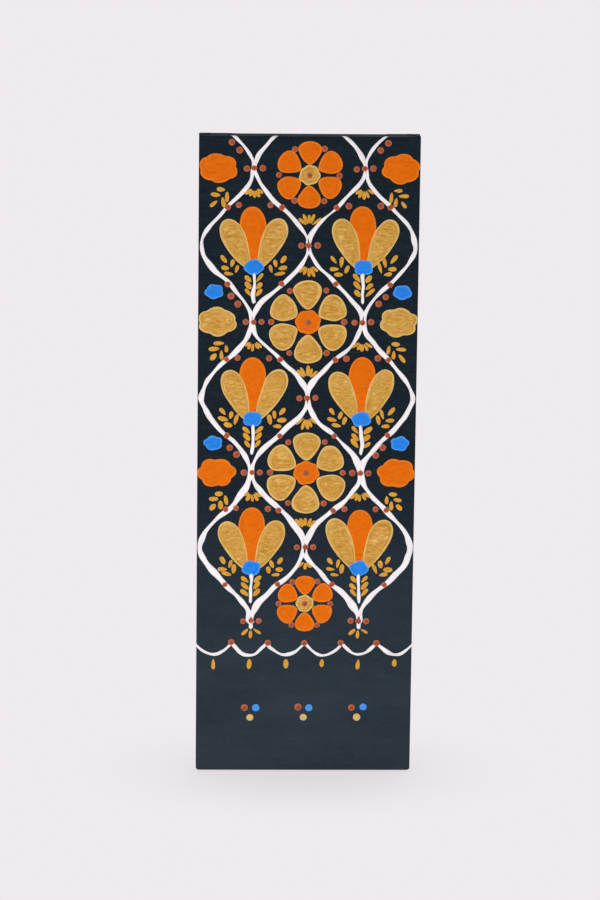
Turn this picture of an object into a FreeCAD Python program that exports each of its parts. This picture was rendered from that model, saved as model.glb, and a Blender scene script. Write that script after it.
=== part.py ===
"""A stretched canvas panel, 200 x 600 mm, built the way a frame maker builds one.

Four stretcher bars of one moulding meet in mitred corners with double tongues and slots. Two tapered keys
sit in each corner and can be tapped in to tighten the cloth. The cloth wraps the bars, turns over their backs
and is stapled there. The staples of a row share one part.

Frame: X runs across the panel, Y from the painted face towards the wall, Z up. The origin is at the middle of
the footprint, on the surface that the panel stands on.
"""

import FreeCAD, Part
import math
import os
import Sketcher

DOC = FreeCAD.newDocument("stretched_canvas")

# Driving dimensions in millimetres: alias, value, what it is.
DIMENSIONS = [
    ("frame_width", 200, "outside width of the joined bars"),
    ("frame_height", 600, "outside height of the joined bars"),
    ("bar_width", 38, "width of a bar, from its outer to its inner edge"),
    ("bar_depth", 18, "depth of a bar, from its front to its back"),
    ("lip_land", 5, "width of the raised lip that carries the cloth"),
    ("lip_radius", 2.2, "rounding of the lip's outer edge"),
    ("bevel_drop", 2.6, "how far the front falls away towards the inner edge"),
    ("back_radius", 1.2, "rounding of the outer back edge"),
    ("arris", 1, "chamfer of the two inner edges"),
    ("corner_radius", 2.4, "rounding of the frame's four outer corners"),
    ("cheek_depth", 6, "depth of the mitred front cheek"),
    ("tongue", 3.6, "thickness of each of the two tongues in a corner"),
    ("slot_play", 0.1, "extra width of a slot over its tongue"),
    ("key_length", 35, "length of a corner key"),
    ("key_butt", 14, "width of a key at its thick end"),
    ("key_tip", 3, "width of a key at its thin end"),
    ("key_thickness", 3.4, "thickness of a key"),
    ("key_inserted", 20, "length of a key inside its slot"),
    ("key_corner", 2, "chamfer on the thick end of a key"),
    ("cloth", 0.6, "thickness of the primed and painted cloth"),
    ("cloth_ease", 0.2, "how much smaller the cloth's roundings are than the wood's"),
    ("hem_width", 26, "width of the cloth turned over the back"),
    ("staple_crown", 11, "length of a staple across its two legs"),
    ("staple_leg", 6, "length of a staple's legs under its crown"),
    ("staple_wire", 0.5, "thickness of the staple wire, measured out of the back"),
    ("staple_width", 1, "width of the staple wire along the back"),
    ("staple_inset", 14, "distance from the outer edge to a row of staples"),
    ("staple_end", 48, "distance from a bar's end to the middle of its first staple"),
    ("staple_pitch", 44, "largest distance between two staples of a row"),
    ("corner_inset", 15, "distance from both outer edges to a corner staple"),
    ("overcut", 1, "how far a cutting outline runs past the wood"),
]

# Sizes that follow from the sheet, as expressions. The depths are measured from the front of a bar.
SLOT_A_FRONT = "(sheet.cheek_depth - sheet.slot_play)"
MIDDLE = "(sheet.cheek_depth + sheet.tongue)"
TONGUE_B_BACK = "(sheet.cheek_depth + 2 * sheet.tongue)"
SLOT_WIDTH = "(sheet.tongue + sheet.slot_play)"
BACK_CHEEK = f"(sheet.bar_depth - {TONGUE_B_BACK})"
PAST_WIDTH = "(sheet.bar_width + sheet.overcut)"
TAPER = "((sheet.key_butt - sheet.key_tip) / sheet.key_length)"
KEY_TIP_AT = "(sheet.bar_width - sheet.key_inserted)"
SLOT_APEX = f"({KEY_TIP_AT} - sheet.key_tip / {TAPER})"
SLOT_MOUTH = f"(sheet.key_tip + (sheet.key_inserted + sheet.overcut) * {TAPER})"
CROWN_FRONT = "(sheet.bar_depth + sheet.cloth)"
FRONT_Y = "(-(sheet.bar_depth + sheet.staple_wire) / 2)"

# The bars are one moulding, turned about Y. For each: the turn in degrees, the corner that it starts at, its
# length, how a distance along it and one inward from its outer edge lie in X and Z, and its two end corners.
LEFT_X, RIGHT_X = "-sheet.frame_width / 2", "sheet.frame_width / 2"
LOW_Z, HIGH_Z = "sheet.cloth", "sheet.cloth + sheet.frame_height"
WIDTH, HEIGHT = "sheet.frame_width", "sheet.frame_height"
SIDES = {
    "bottom": (0, LEFT_X, LOW_Z, WIDTH, "+ {along}", "+ {inward}", ("bottom_left", "bottom_right")),
    "right": (-90, RIGHT_X, LOW_Z, HEIGHT, "- {inward}", "+ {along}", ("bottom_right", "top_right")),
    "top": (180, RIGHT_X, HIGH_Z, WIDTH, "- {along}", "- {inward}", ("top_right", "top_left")),
    "left": (90, LEFT_X, HIGH_Z, HEIGHT, "+ {inward}", "- {along}", ("top_left", "bottom_left")),
}


def make_sheet():
    sheet = DOC.addObject("Spreadsheet::Sheet", "sheet")
    for row, (alias, value, meaning) in enumerate(DIMENSIONS, start=1):
        sheet.set(f"A{row}", alias)
        sheet.set(f"B{row}", str(value))
        sheet.set(f"C{row}", meaning)
        sheet.setAlias(f"B{row}", alias)
    DOC.recompute()
    return sheet


def make_body(name):
    body = DOC.addObject("PartDesign::Body", name)
    body.Label = name
    return body


def place(body, turn, x, y, z):
    """Turns the body about Y and binds its place to the sheet."""
    body.Placement = FreeCAD.Placement(FreeCAD.Vector(), FreeCAD.Rotation(FreeCAD.Vector(0, 1, 0), turn))
    for axis, expression in zip("xyz", (x, y, z)):
        body.setExpression(f"Placement.Base.{axis}", expression)


def place_on_side(body, side, along="0", inward="0", depth="0"):
    """Puts a body drawn in a bar's own axes (X along, Y back, Z inward) at a place on that bar."""
    turn, corner_x, corner_z, _, in_x, in_z, _ = SIDES[side]
    x = f"{corner_x} {in_x}".format(along=along, inward=inward)
    z = f"{corner_z} {in_z}".format(along=along, inward=inward)
    place(body, turn, x, f"{FRONT_Y} + {depth}", z)


def new_sketch(body, name, plane, offset="0"):
    """An empty sketch on one of the body's origin planes, moved along that plane's normal."""
    sketch = body.newObject("Sketcher::SketchObject", name)
    origin_plane = next(f for f in body.Origin.OriginFeatures if f.Role == plane)
    sketch.AttachmentSupport = (origin_plane, [""])
    sketch.MapMode = "FlatFace"
    sketch.setExpression("AttachmentOffset.Base.z", offset)
    return sketch


def bind(sketch, kind, places, expression):
    """Adds one dimension to a sketch and ties it to an expression."""
    value = float(sketch.evalExpression(expression))
    bound = sketch.addConstraint(Sketcher.Constraint(kind, *places, value))
    sketch.setExpression(f"Constraints[{bound}]", expression)


def bind_start(sketch, line, spot):
    """Holds the start of a line or arc at a pair of expressions, measured from the sketch's origin."""
    for kind, expression in zip(("DistanceX", "DistanceY"), spot):
        bind(sketch, kind, (-1, 1, line, 1), expression)


def to_point(sketch, spot):
    return FreeCAD.Vector(*(float(sketch.evalExpression(expression)) for expression in spot), 0)


def add_polygon(sketch, corners):
    """A closed polygon whose corners are pairs of expressions."""
    first = sketch.GeometryCount
    points = [to_point(sketch, corner) for corner in corners]
    for here, there in zip(points, points[1:] + points[:1]):
        sketch.addGeometry(Part.LineSegment(here, there), False)
    for index, corner in enumerate(corners):
        before = first + (index - 1) % len(corners)
        sketch.addConstraint(Sketcher.Constraint("Coincident", before, 2, first + index, 1))
        bind_start(sketch, first + index, corner)
    return sketch


def add_pad(body, name, sketch, length, way="forward"):
    """Pads a sketch along its normal, against it (way "back"), or half of each (way "both ways")."""
    pad = body.newObject("PartDesign::Pad", name)
    pad.Profile = sketch
    pad.Reversed = way == "back"
    pad.SideType = "Symmetric" if way == "both ways" else "One side"
    pad.setExpression("Length", length)
    DOC.recompute()
    return pad


def add_pocket(body, name, sketch, length):
    """A pocket against the sketch's normal. It has to take something away."""
    before = body.Shape.Volume
    pocket = body.newObject("PartDesign::Pocket", name)
    pocket.Profile = sketch
    pocket.setExpression("Length", length)
    DOC.recompute()
    if not body.Shape.Volume < before:
        raise RuntimeError(f"{name} of {body.Label} cuts nothing")
    return pocket


def add_edging(body, kind, name, edges, size):
    """A Fillet or Chamfer of the named edges of the body as it stands."""
    base = body.Tip
    edging = body.newObject(f"PartDesign::{kind}", name)
    edging.Base = (base, edges)
    edging.setExpression({"Fillet": "Radius", "Chamfer": "Size"}[kind], size)
    DOC.recompute()
    return edging


def edges_along(shape, axis, *spots):
    """Names of the edges parallel to an axis that cross the plane of the other two at one of the spots."""
    others = [name for name in "xyz" if name != axis]
    names = []
    for number, edge in enumerate(shape.Edges, start=1):
        ends = [[getattr(v.Point, name) for name in others] for v in edge.Vertexes]
        if len(ends) == 2 and any(all(near(e, spot) for e in ends) for spot in spots):
            names.append(f"Edge{number}")
    return names


def edges_at_depth(shape, depth):
    """Names of the edges that lie in the plane at one Y."""
    at_depth = [all(abs(v.Y - depth) < 1e-6 for v in edge.Vertexes) for edge in shape.Edges]
    return [f"Edge{number}" for number, found in enumerate(at_depth, start=1) if found]


def near(point, spot):
    return all(abs(a - b) < 1e-6 for a, b in zip(point, spot))


def make_bar(sheet, side):
    """One stretcher bar, drawn along X with its outer edge at Z 0 and its front at Y 0."""
    length = SIDES[side][3]
    body = make_body(f"{side}_bar")
    add_moulding(sheet, body, length)
    corners = [("0", "0", 1, 1), (length, "0", -1, 1)]
    add_rounded_corners(body, corners, "sheet.corner_radius", "0", "sheet.bar_depth")
    add_mitres(body, length)
    add_slots(body, length)
    place_on_side(body, side)


def add_moulding(sheet, body, length):
    """The moulding: a raised outer lip, a front that falls away from the cloth, and eased edges."""
    corners = [
        ("0", "0"),
        ("sheet.bar_depth", "0"),
        ("sheet.bar_depth", "sheet.bar_width"),
        ("sheet.bevel_drop", "sheet.bar_width"),
        ("0", "sheet.lip_land"),
    ]
    section = add_polygon(new_sketch(body, "section", "YZ_Plane"), corners)
    add_pad(body, "moulding", section, length)
    lip = edges_along(body.Shape, "x", (0, 0))
    add_edging(body, "Fillet", "lip", lip, "sheet.lip_radius")
    outer_back = edges_along(body.Shape, "x", (sheet.bar_depth, 0))
    add_edging(body, "Fillet", "outer_back", outer_back, "sheet.back_radius")
    inner = [(depth, sheet.bar_width) for depth in (sheet.bevel_drop, sheet.bar_depth)]
    add_edging(body, "Chamfer", "inner_edges", edges_along(body.Shape, "x", *inner), "sheet.arris")


def add_rounded_corners(body, corners, radius, front, depth):
    """Rounds upright corners. Each one is its X, its Z, and the ways to the body from there along X and Z."""
    sketch = new_sketch(body, "corner_rounds", "XZ_Plane", front)
    for x, z, way_x, way_z in corners:
        on_x, on_z = (f"{x} + {way_x} * {radius}", z), (x, f"{z} + {way_z} * {radius}")
        start, end = (on_z, on_x) if way_x * way_z > 0 else (on_x, on_z)
        corner_at, start_at, end_at = [to_point(sketch, spot) for spot in ((x, z), start, end)]
        centre = to_point(sketch, (on_x[0], on_z[1]))
        circle = Part.Circle(centre, FreeCAD.Vector(0, 0, 1), (start_at - centre).Length)
        start_angle = math.atan2(start_at.y - centre.y, start_at.x - centre.x)
        line_in = sketch.addGeometry(Part.LineSegment(corner_at, start_at), False)
        arc = sketch.addGeometry(Part.ArcOfCircle(circle, start_angle, start_angle + math.pi / 2), False)
        line_out = sketch.addGeometry(Part.LineSegment(end_at, corner_at), False)
        for here, there, spot in ((line_out, line_in, (x, z)), (line_in, arc, start), (arc, line_out, end)):
            sketch.addConstraint(Sketcher.Constraint("Coincident", here, 2, there, 1))
            bind_start(sketch, there, spot)
        bind(sketch, "Radius", (arc,), radius)
    add_pocket(body, "corners", sketch, depth)


def add_mitres(body, length):
    """Cuts the front and back cheeks of both ends at 45 degrees, down to the tongues."""
    before, past = "-sheet.overcut", PAST_WIDTH
    near_end = [(before, before), (past, past), (before, past)]
    far_end = [(f"{length} - ({x})", z) for x, z in near_end]
    cheeks = (("front", "0", "sheet.cheek_depth"), ("back", TONGUE_B_BACK, BACK_CHEEK))
    for name, start, thickness in cheeks:
        sketch = new_sketch(body, f"{name}_mitre_lines", "XZ_Plane", f"-{start}")
        add_polygon(sketch, near_end)
        add_polygon(sketch, far_end)
        add_pocket(body, f"{name}_mitres", sketch, thickness)


def add_slots(body, length):
    """Cuts each end's slot for the next bar's tongue, with the tapered room beside it for a key."""
    before, past = "-sheet.overcut", PAST_WIDTH
    near_end = [
        (before, before),
        ("sheet.bar_width", before),
        ("sheet.bar_width", SLOT_APEX),
        (f"sheet.bar_width + {SLOT_MOUTH}", past),
        (before, past),
    ]
    far_end = [(f"{length} - ({x})", z) for x, z in near_end]
    for name, outline, start in (("slot_b", near_end, MIDDLE), ("slot_a", far_end, SLOT_A_FRONT)):
        sketch = add_polygon(new_sketch(body, f"{name}_outline", "XZ_Plane", f"-{start}"), outline)
        add_pocket(body, name, sketch, SLOT_WIDTH)


def make_key(side, end):
    """One corner key, a thin tapered plate: its straight edge lies on the next bar, its slope on its slot."""
    length, corner = SIDES[side][3], SIDES[side][6][end]
    way = "upright" if side in ("top", "bottom") else "level"
    body = make_body(f"{corner}_{way}_key")
    lean = "" if end == 0 else "-"
    corners = [
        ("0", "0"),
        (f"{lean}sheet.key_tip", "0"),
        (f"{lean}(sheet.key_butt - sheet.key_corner * {TAPER})", "sheet.key_length - sheet.key_corner"),
        (f"{lean}(sheet.key_butt - sheet.key_corner)", "sheet.key_length"),
        ("0", "sheet.key_length"),
    ]
    taper = add_polygon(new_sketch(body, "taper", "XZ_Plane"), corners)
    add_pad(body, "plate", taper, "sheet.key_thickness", "back")
    slot_front = MIDDLE if end == 0 else SLOT_A_FRONT
    place_on_side(
        body,
        side,
        along="sheet.bar_width" if end == 0 else f"({length} - sheet.bar_width)",
        inward=KEY_TIP_AT,
        depth=f"{slot_front} + ({SLOT_WIDTH} - sheet.key_thickness) / 2",
    )


def make_canvas():
    """The cloth: one skin round the joined bars, with its hem turned over their backs."""
    body = make_body("canvas")
    add_block(body, "sheet.cloth")
    envelope = make_body("bar_envelope")
    add_block(envelope, "0")
    hollow = body.newObject("PartDesign::Boolean", "hollow")
    hollow.Type = "Cut"
    hollow.Group = [envelope]
    DOC.recompute()
    low_x, high_x = "-sheet.frame_width / 2 + sheet.hem_width", "sheet.frame_width / 2 - sheet.hem_width"
    low_z, high_z = "sheet.hem_width", "sheet.frame_height - sheet.hem_width"
    outline = new_sketch(body, "hem_outline", "XZ_Plane", "-sheet.bar_depth + sheet.overcut")
    add_polygon(outline, [(low_x, low_z), (high_x, low_z), (high_x, high_z), (low_x, high_z)])
    add_pocket(body, "hem_opening", outline, "(sheet.cloth + 2 * sheet.overcut)")
    place(body, 0, "0", FRONT_Y, "sheet.cloth")


def add_block(body, skin):
    """A block that the joined bars fill, grown by the thickness of a skin, with the cloth's own roundings."""
    low_x, high_x = f"-(sheet.frame_width / 2 + {skin})", f"sheet.frame_width / 2 + {skin}"
    low_z, high_z = f"-{skin}", f"sheet.frame_height + {skin}"
    outline = new_sketch(body, "outline", "XZ_Plane", skin)
    add_polygon(outline, [(low_x, low_z), (high_x, low_z), (high_x, high_z), (low_x, high_z)])
    add_pad(body, "block", outline, f"(sheet.bar_depth + 2 * {skin})", "back")
    growth = f"{skin} - sheet.cloth_ease"
    depths = (body.Shape.BoundBox.YMin, body.Shape.BoundBox.YMax)
    for name, radius, depth in zip(("front_edges", "back_edges"), ("lip_radius", "back_radius"), depths):
        add_edging(body, "Fillet", name, edges_at_depth(body.Shape, depth), f"sheet.{radius} + {growth}")
    corners = [(low_x, low_z, 1, 1), (high_x, low_z, -1, 1), (high_x, high_z, -1, -1), (low_x, high_z, 1, -1)]
    through = f"(sheet.bar_depth + 2 * {skin})"
    add_rounded_corners(body, corners, f"(sheet.corner_radius + {growth})", skin, through)


def staple_profile(sketch):
    """A staple from the side: a flat crown on the cloth's back, and two legs into the wood."""
    crown_back = f"({CROWN_FRONT} + sheet.staple_wire)"
    leg_end = f"({CROWN_FRONT} - sheet.staple_leg)"
    outside, inside = "sheet.staple_crown / 2", "(sheet.staple_crown / 2 - sheet.staple_wire)"
    right_leg = [(inside, CROWN_FRONT), (inside, leg_end), (outside, leg_end), (outside, crown_back)]
    left_leg = [(f"-{x}", y) for x, y in reversed(right_leg)]
    return add_polygon(sketch, right_leg + left_leg)


def make_staple_row(side):
    """The staples along one bar, evenly spaced and no further apart than the pitch."""
    span = f"({SIDES[side][3]} - 2 * sheet.staple_end)"
    body = make_body(f"{side}_staples")
    sketch = new_sketch(body, "staple_side", "XY_Plane")
    staple = add_pad(body, "staple", staple_profile(sketch), "sheet.staple_width", "both ways")
    row = body.newObject("PartDesign::LinearPattern", "row")
    row.Originals = [staple]
    row.Direction = (sketch, ["H_Axis"])
    row.setExpression("Length", span)
    row.setExpression("Occurrences", f"ceil({span} / sheet.staple_pitch) + 1")
    body.Tip = row
    DOC.recompute()
    place_on_side(body, side, along="sheet.staple_end", inward="sheet.staple_inset")


def make_corner_staples():
    """One staple across each mitre at the back, at 45 degrees. The body's axes cross mid-frame."""
    body = make_body("corner_staples")
    sketch = new_sketch(body, "staple_side", "XY_Plane", "-sheet.frame_height / 2 + sheet.corner_inset")
    across_mitre = FreeCAD.Rotation(FreeCAD.Vector(0, 1, 0), 45)
    sketch.AttachmentOffset = FreeCAD.Placement(sketch.AttachmentOffset.Base, across_mitre)
    sketch.setExpression("AttachmentOffset.Base.x", "-sheet.frame_width / 2 + sheet.corner_inset")
    staple = add_pad(body, "staple", staple_profile(sketch), "sheet.staple_width", "both ways")
    mirrors = []
    for name, plane in (("left_to_right", "YZ_Plane"), ("bottom_to_top", "XY_Plane")):
        mirror = body.newObject("PartDesign::Mirrored", name)
        mirror.MirrorPlane = (next(f for f in body.Origin.OriginFeatures if f.Role == plane), [""])
        mirrors.append(mirror)
    four = body.newObject("PartDesign::MultiTransform", "four_corners")
    four.Originals = [staple]
    four.Transformations = mirrors
    body.Tip = four
    DOC.recompute()
    place(body, 0, "0", FRONT_Y, "sheet.cloth + sheet.frame_height / 2")


def check_and_export(bodies):
    """Writes each body to its own file, once every object of the document has come out right."""
    DOC.recompute()
    failed = [thing.Name for thing in DOC.Objects if {"Invalid", "Error"} & set(thing.State)]
    if failed:
        raise RuntimeError(f"these objects failed: {failed}")
    for body in bodies:
        if body.Shape.isNull() or not body.Shape.isValid() or not body.Shape.Solids:
            raise RuntimeError(f"{body.Label} has no sound shape")
    os.makedirs("parts", exist_ok=True)
    for body in bodies:
        body.Shape.exportStep(f"parts/{body.Label}.step")


def main():
    sheet = make_sheet()
    for side in SIDES:
        make_bar(sheet, side)
        make_staple_row(side)
        for end in (0, 1):
            make_key(side, end)
    make_corner_staples()
    make_canvas()
    tools = ("bar_envelope",)
    bodies = [thing for thing in DOC.Objects if thing.isDerivedFrom("PartDesign::Body")]
    check_and_export([body for body in bodies if body.Label not in tools])


main()
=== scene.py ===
"""The looks of a painted stretched canvas, 20 x 60 cm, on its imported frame.

The cloth is one wrapped sheet with folded corners and a stapled hem. The paint on its face is raised: flat
petals with a rim, brushed lines, dabs and round drops, each at its own height. The wood, keys and staples
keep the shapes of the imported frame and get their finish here. Metres: X across, Y towards the wall, Z up.
"""

import math
import random

import bpy
from mathutils import Matrix, Vector


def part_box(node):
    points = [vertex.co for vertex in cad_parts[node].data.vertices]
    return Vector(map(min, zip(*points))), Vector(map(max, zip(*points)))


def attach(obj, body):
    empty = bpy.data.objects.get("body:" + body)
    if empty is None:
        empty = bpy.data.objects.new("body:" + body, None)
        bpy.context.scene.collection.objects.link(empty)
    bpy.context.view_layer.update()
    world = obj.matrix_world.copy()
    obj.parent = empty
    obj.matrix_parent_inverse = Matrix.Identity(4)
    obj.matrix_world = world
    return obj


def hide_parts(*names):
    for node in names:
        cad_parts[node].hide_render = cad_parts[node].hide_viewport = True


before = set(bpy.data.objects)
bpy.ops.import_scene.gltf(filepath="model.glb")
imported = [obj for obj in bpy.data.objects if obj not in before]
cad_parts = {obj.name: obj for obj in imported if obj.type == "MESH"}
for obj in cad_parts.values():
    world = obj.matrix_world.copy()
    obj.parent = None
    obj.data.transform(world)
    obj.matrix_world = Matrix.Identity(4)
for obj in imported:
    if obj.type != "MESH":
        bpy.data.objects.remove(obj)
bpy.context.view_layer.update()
MM = 0.001
SEED = 7

# The wood's outer faces, which are the cloth's inner ones.
BAR_LOW, BAR_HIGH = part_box("left_bar")[0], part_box("right_bar")[1]
HALF_WIDTH, HALF_HEIGHT = BAR_HIGH.x, (BAR_HIGH.z - BAR_LOW.z) / 2
MIDDLE_Z = (BAR_HIGH.z + BAR_LOW.z) / 2
FRONT_Y, BACK_Y = BAR_LOW.y, BAR_HIGH.y

# The cloth's thickness, the radii of its inner face at the front and back edges and at the corners of the
# front view, and how far it reaches over the back.
CLOTH = 0.45 * MM
FRONT_ROUND, BACK_ROUND = 1.4 * MM, 1.0 * MM
TOP_CORNER, FOOT_CORNER = 0.3 * MM, 2.4 * MM
HEM = 26 * MM
FACE_Y = FRONT_Y - CLOTH

# ---- Shader arithmetic ----


def paint_colour(red, green, blue):
    """A colour as it is mixed on the palette, 0 to 255, as the shader's linear one."""
    shares = [level / 255 for level in (red, green, blue)]
    return tuple(s / 12.92 if s <= 0.04045 else ((s + 0.055) / 1.055) ** 2.4 for s in shares) + (1.0,)


class Value:
    """A number that varies over a surface. Python arithmetic on it adds Math nodes."""

    def __init__(self, finish, socket):
        self.finish, self.socket = finish, socket

    def _math(self, operation, *operands):
        inputs = dict(enumerate(operands))
        return self.finish.node("Math", {"operation": operation}, inputs)

    def __add__(self, other):
        return self._math("ADD", self, other)

    def __sub__(self, other):
        return self._math("SUBTRACT", self, other)

    def __rsub__(self, other):
        return self._math("SUBTRACT", other, self)

    def __mul__(self, other):
        return self._math("MULTIPLY", self, other)

    def __truediv__(self, other):
        return self._math("DIVIDE", self, other)

    def __pow__(self, other):
        return self._math("POWER", self, other)

    def __abs__(self):
        return self._math("ABSOLUTE", self)

    __radd__, __rmul__ = __add__, __mul__

    def sine(self):
        return self._math("SINE", self)

    def sign(self):
        return self._math("SIGN", self)

    def least(self, other):
        return self._math("MINIMUM", self, other)

    def most(self, other):
        return self._math("MAXIMUM", self, other)

    def step(self, low, high):
        """0 below low, 1 above high, and smooth between."""
        settings = {"interpolation_type": "SMOOTHSTEP"}
        return self.finish.node("MapRange", settings, {"Value": self, "From Min": low, "From Max": high})


class Finish:
    """One material. Its methods add nodes, and set() feeds the shader."""

    def __init__(self, name, **constants):
        self.material = bpy.data.materials.new(name)
        self.material.use_nodes = True
        self.tree = self.material.node_tree
        self.shader = self.tree.nodes["Principled BSDF"]
        for name, value in constants.items():
            self.shader.inputs[name.replace("_", " ").title().replace("Ior", "IOR")].default_value = value

    def node(self, kind, settings=None, inputs=None, output=0):
        """Adds a node: its settings first, then its sockets' values or links. Gives one of its outputs."""
        node = self.tree.nodes.new("ShaderNode" + kind)
        for name, value in (settings or {}).items():
            setattr(node, name, value)
        for name, value in (inputs or {}).items():
            self._feed(node.inputs[name], value)
        return Value(self, node.outputs[output])

    def _feed(self, socket, value):
        if isinstance(value, Value):
            self.tree.links.new(value.socket, socket)
        else:
            socket.default_value = value

    def set(self, **inputs):
        for name, value in inputs.items():
            self._feed(self.shader.inputs[name.replace("_", " ").title()], value)

    def place(self):
        """The place on the piece, in metres, as one vector."""
        return self.node("TexCoord", output="Object")

    def along(self, vector=None):
        """A vector's three values: those of the place on the piece, unless another is given."""
        first = self.node("SeparateXYZ", inputs={"Vector": vector or self.place()})
        return [Value(self, output) for output in first.socket.node.outputs]

    def noise(self, size, detail=3.0, stretch=(1, 1, 1), roughness=0.5, distortion=0.0, where=None):
        """Cloudy variation from 0 to 1, with features of about size metres, drawn out by stretch."""
        scaled = self.node(
            "VectorMath",
            {"operation": "MULTIPLY"},
            {0: where or self.place(), 1: tuple(1 / (size * s) for s in stretch)},
        )
        inputs = {"Vector": scaled, "Scale": 1.0, "Detail": detail, "Roughness": roughness}
        return self.node("TexNoise", {}, {**inputs, "Distortion": distortion})

    def mix(self, share, first, second):
        """Colour first where share is 0, and second where it is 1."""
        return self.node("Mix", {"data_type": "RGBA"}, {0: share, 6: first, 7: second}, output=2)

    def bump(self, height, depth, under=None):
        """A normal from a height of 0 to 1 that stands for depth metres."""
        inputs = {"Height": height, "Distance": depth, "Strength": 1.0}
        if under is not None:
            inputs["Normal"] = under
        return self.node("Bump", {}, inputs)

    def attribute(self, name, kind="Fac"):
        return self.node("Attribute", {"attribute_name": name}, output=kind)


THREAD_PITCH = 0.82 * MM
THREAD_OVER = 0.45  # how far a thread rises over the one that it crosses, as a share of its own height
EDGE_BLEND = 0.5 * MM


def plain_weave(finish):
    """Height of a plain weave, 0 to 1. Its threads vary in thickness and turn with the cloth at its edges."""
    x, y, z = finish.along()
    slub = finish.noise(9 * MM, detail=4.0) * 0.5
    round_side = y * abs(x).step(HALF_WIDTH - EDGE_BLEND, HALF_WIDTH)
    round_end = y * abs(z - MIDDLE_Z).step(HALF_HEIGHT - EDGE_BLEND, HALF_HEIGHT)
    turns = math.pi / THREAD_PITCH
    warp = ((x + round_side) * turns + slub).sine()
    weft = ((z + round_end) * turns + slub).sine()
    warp_height = abs(warp) + warp.sign() * weft * THREAD_OVER
    weft_height = abs(weft) - weft.sign() * warp * THREAD_OVER
    return warp_height.most(weft_height) / (1 + THREAD_OVER)


# ---- Finishes ----

# The first two slates hold painted light and shade: the ground is drawn paler at the foot and darker towards
# the top because of how the light falls, and the heights below set where it changes.
LIT_FOOT_SLATE, SHADED_TOP_SLATE, DEEP_SLATE, WORN_SLATE = (46, 57, 66), (23, 32, 40), (20, 28, 35), (64, 76, 86)
PAINTED_SHADE_HEIGHTS = (0.07, 0.32)  # heights between which the ground goes from its paler slate to its darker one
PRIMER_WHITE, PRIMER_GREY = (238, 235, 227), (221, 215, 202)
COTTON_PALE, COTTON_DARK, COTTON_SEED = (232, 222, 198), (206, 192, 162), (120, 92, 60)
PINE_EARLY, PINE_LATE, PINE_BLOND = (231, 199, 148), (196, 147, 88), (240, 212, 166)
PINE_FIBRE, PINE_JOINT = (176, 128, 74), (96, 66, 38)
BEECH_PALE, BEECH_DARK, BEECH_FLECK = (214, 166, 118), (187, 134, 86), (140, 92, 55)
ZINC_DULL, ZINC_BRIGHT = (150, 153, 158), (194, 196, 200)


def slate_colour(finish):
    """The ground's colour: a deep slate, darker towards the top as painted shade, paler on the thread tops
    and in strokes.
    """
    height = finish.along()[2]
    strokes = finish.noise(2.2 * MM, detail=5.0, stretch=(9, 1, 1), roughness=0.65)
    threads = finish.noise(1.5 * MM, detail=6.0, roughness=0.75)
    cloudy = finish.noise(45 * MM, detail=6.0, stretch=(2.2, 1, 1), roughness=0.62)
    worn = (strokes * 0.3 + threads * 0.7).step(0.46, 0.8) * 0.55
    # Painted shade: the slate goes from paler at the foot to darker towards the top, as the light falls on
    # the face.
    ground = finish.mix(height.step(*PAINTED_SHADE_HEIGHTS), paint_colour(*LIT_FOOT_SLATE), paint_colour(*SHADED_TOP_SLATE))
    shaded = finish.mix(cloudy.step(0.35, 0.7) * 0.34, ground, paint_colour(*DEEP_SLATE))
    return finish.mix(worn, shaded, paint_colour(*WORN_SLATE))


def painted_cloth():
    """Matt ground colour brushed level over the weave."""
    finish = Finish("slate_painted_cloth", specular_ior_level=0.03)
    weave = plain_weave(finish)
    strokes = finish.noise(1.6 * MM, detail=4.0, stretch=(12, 1, 1), roughness=0.6)
    relief = finish.bump(weave, 0.14 * MM, finish.bump(strokes, 0.1 * MM))
    finish.set(base_color=slate_colour(finish), roughness=0.66 + strokes * 0.22, normal=relief)
    return finish.material


def primed_hem():
    """The hem at the back: white primer, with the ground's colour carried ragged over the edge."""
    finish = Finish("primed_hem", specular_ior_level=0.3)
    x, _, z = finish.along()
    inwards = (HALF_WIDTH - abs(x)).least(HALF_HEIGHT - abs(z - MIDDLE_Z))
    sweep = (finish.noise(34 * MM, detail=3.0) - 0.5) * 16 * MM
    bristles = finish.noise(6 * MM, detail=6.0, roughness=0.7) * 3 * MM
    painted = 1 - (inwards - (sweep + bristles)).step(2.2 * MM, 2.9 * MM)
    grime = finish.noise(30 * MM, detail=4.0)
    primer = finish.mix(grime, paint_colour(*PRIMER_WHITE), paint_colour(*PRIMER_GREY))
    weave = plain_weave(finish)
    finish.set(
        base_color=finish.mix(painted, primer, slate_colour(finish)),
        roughness=0.7 + grime * 0.2,
        normal=finish.bump(weave, 0.14 * MM),
    )
    return finish.material


def raw_cotton():
    """The cloth's bare inner face: cream cotton with a few dark flecks of seed."""
    finish = Finish("raw_cotton", specular_ior_level=0.15)
    weave = plain_weave(finish)
    level, upright = (finish.noise(0.9 * MM, stretch=stretch) for stretch in ((6, 1, 1), (1, 1, 6)))
    cream = finish.mix((level + upright) * 0.5, paint_colour(*COTTON_PALE), paint_colour(*COTTON_DARK))
    seeds = finish.noise(1.1 * MM, detail=1.0).step(0.76, 0.80)
    finish.set(
        base_color=finish.mix(seeds * 0.6, cream, paint_colour(*COTTON_SEED)),
        roughness=0.9,
        normal=finish.bump(weave, 0.22 * MM),
    )
    return finish.material


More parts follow.
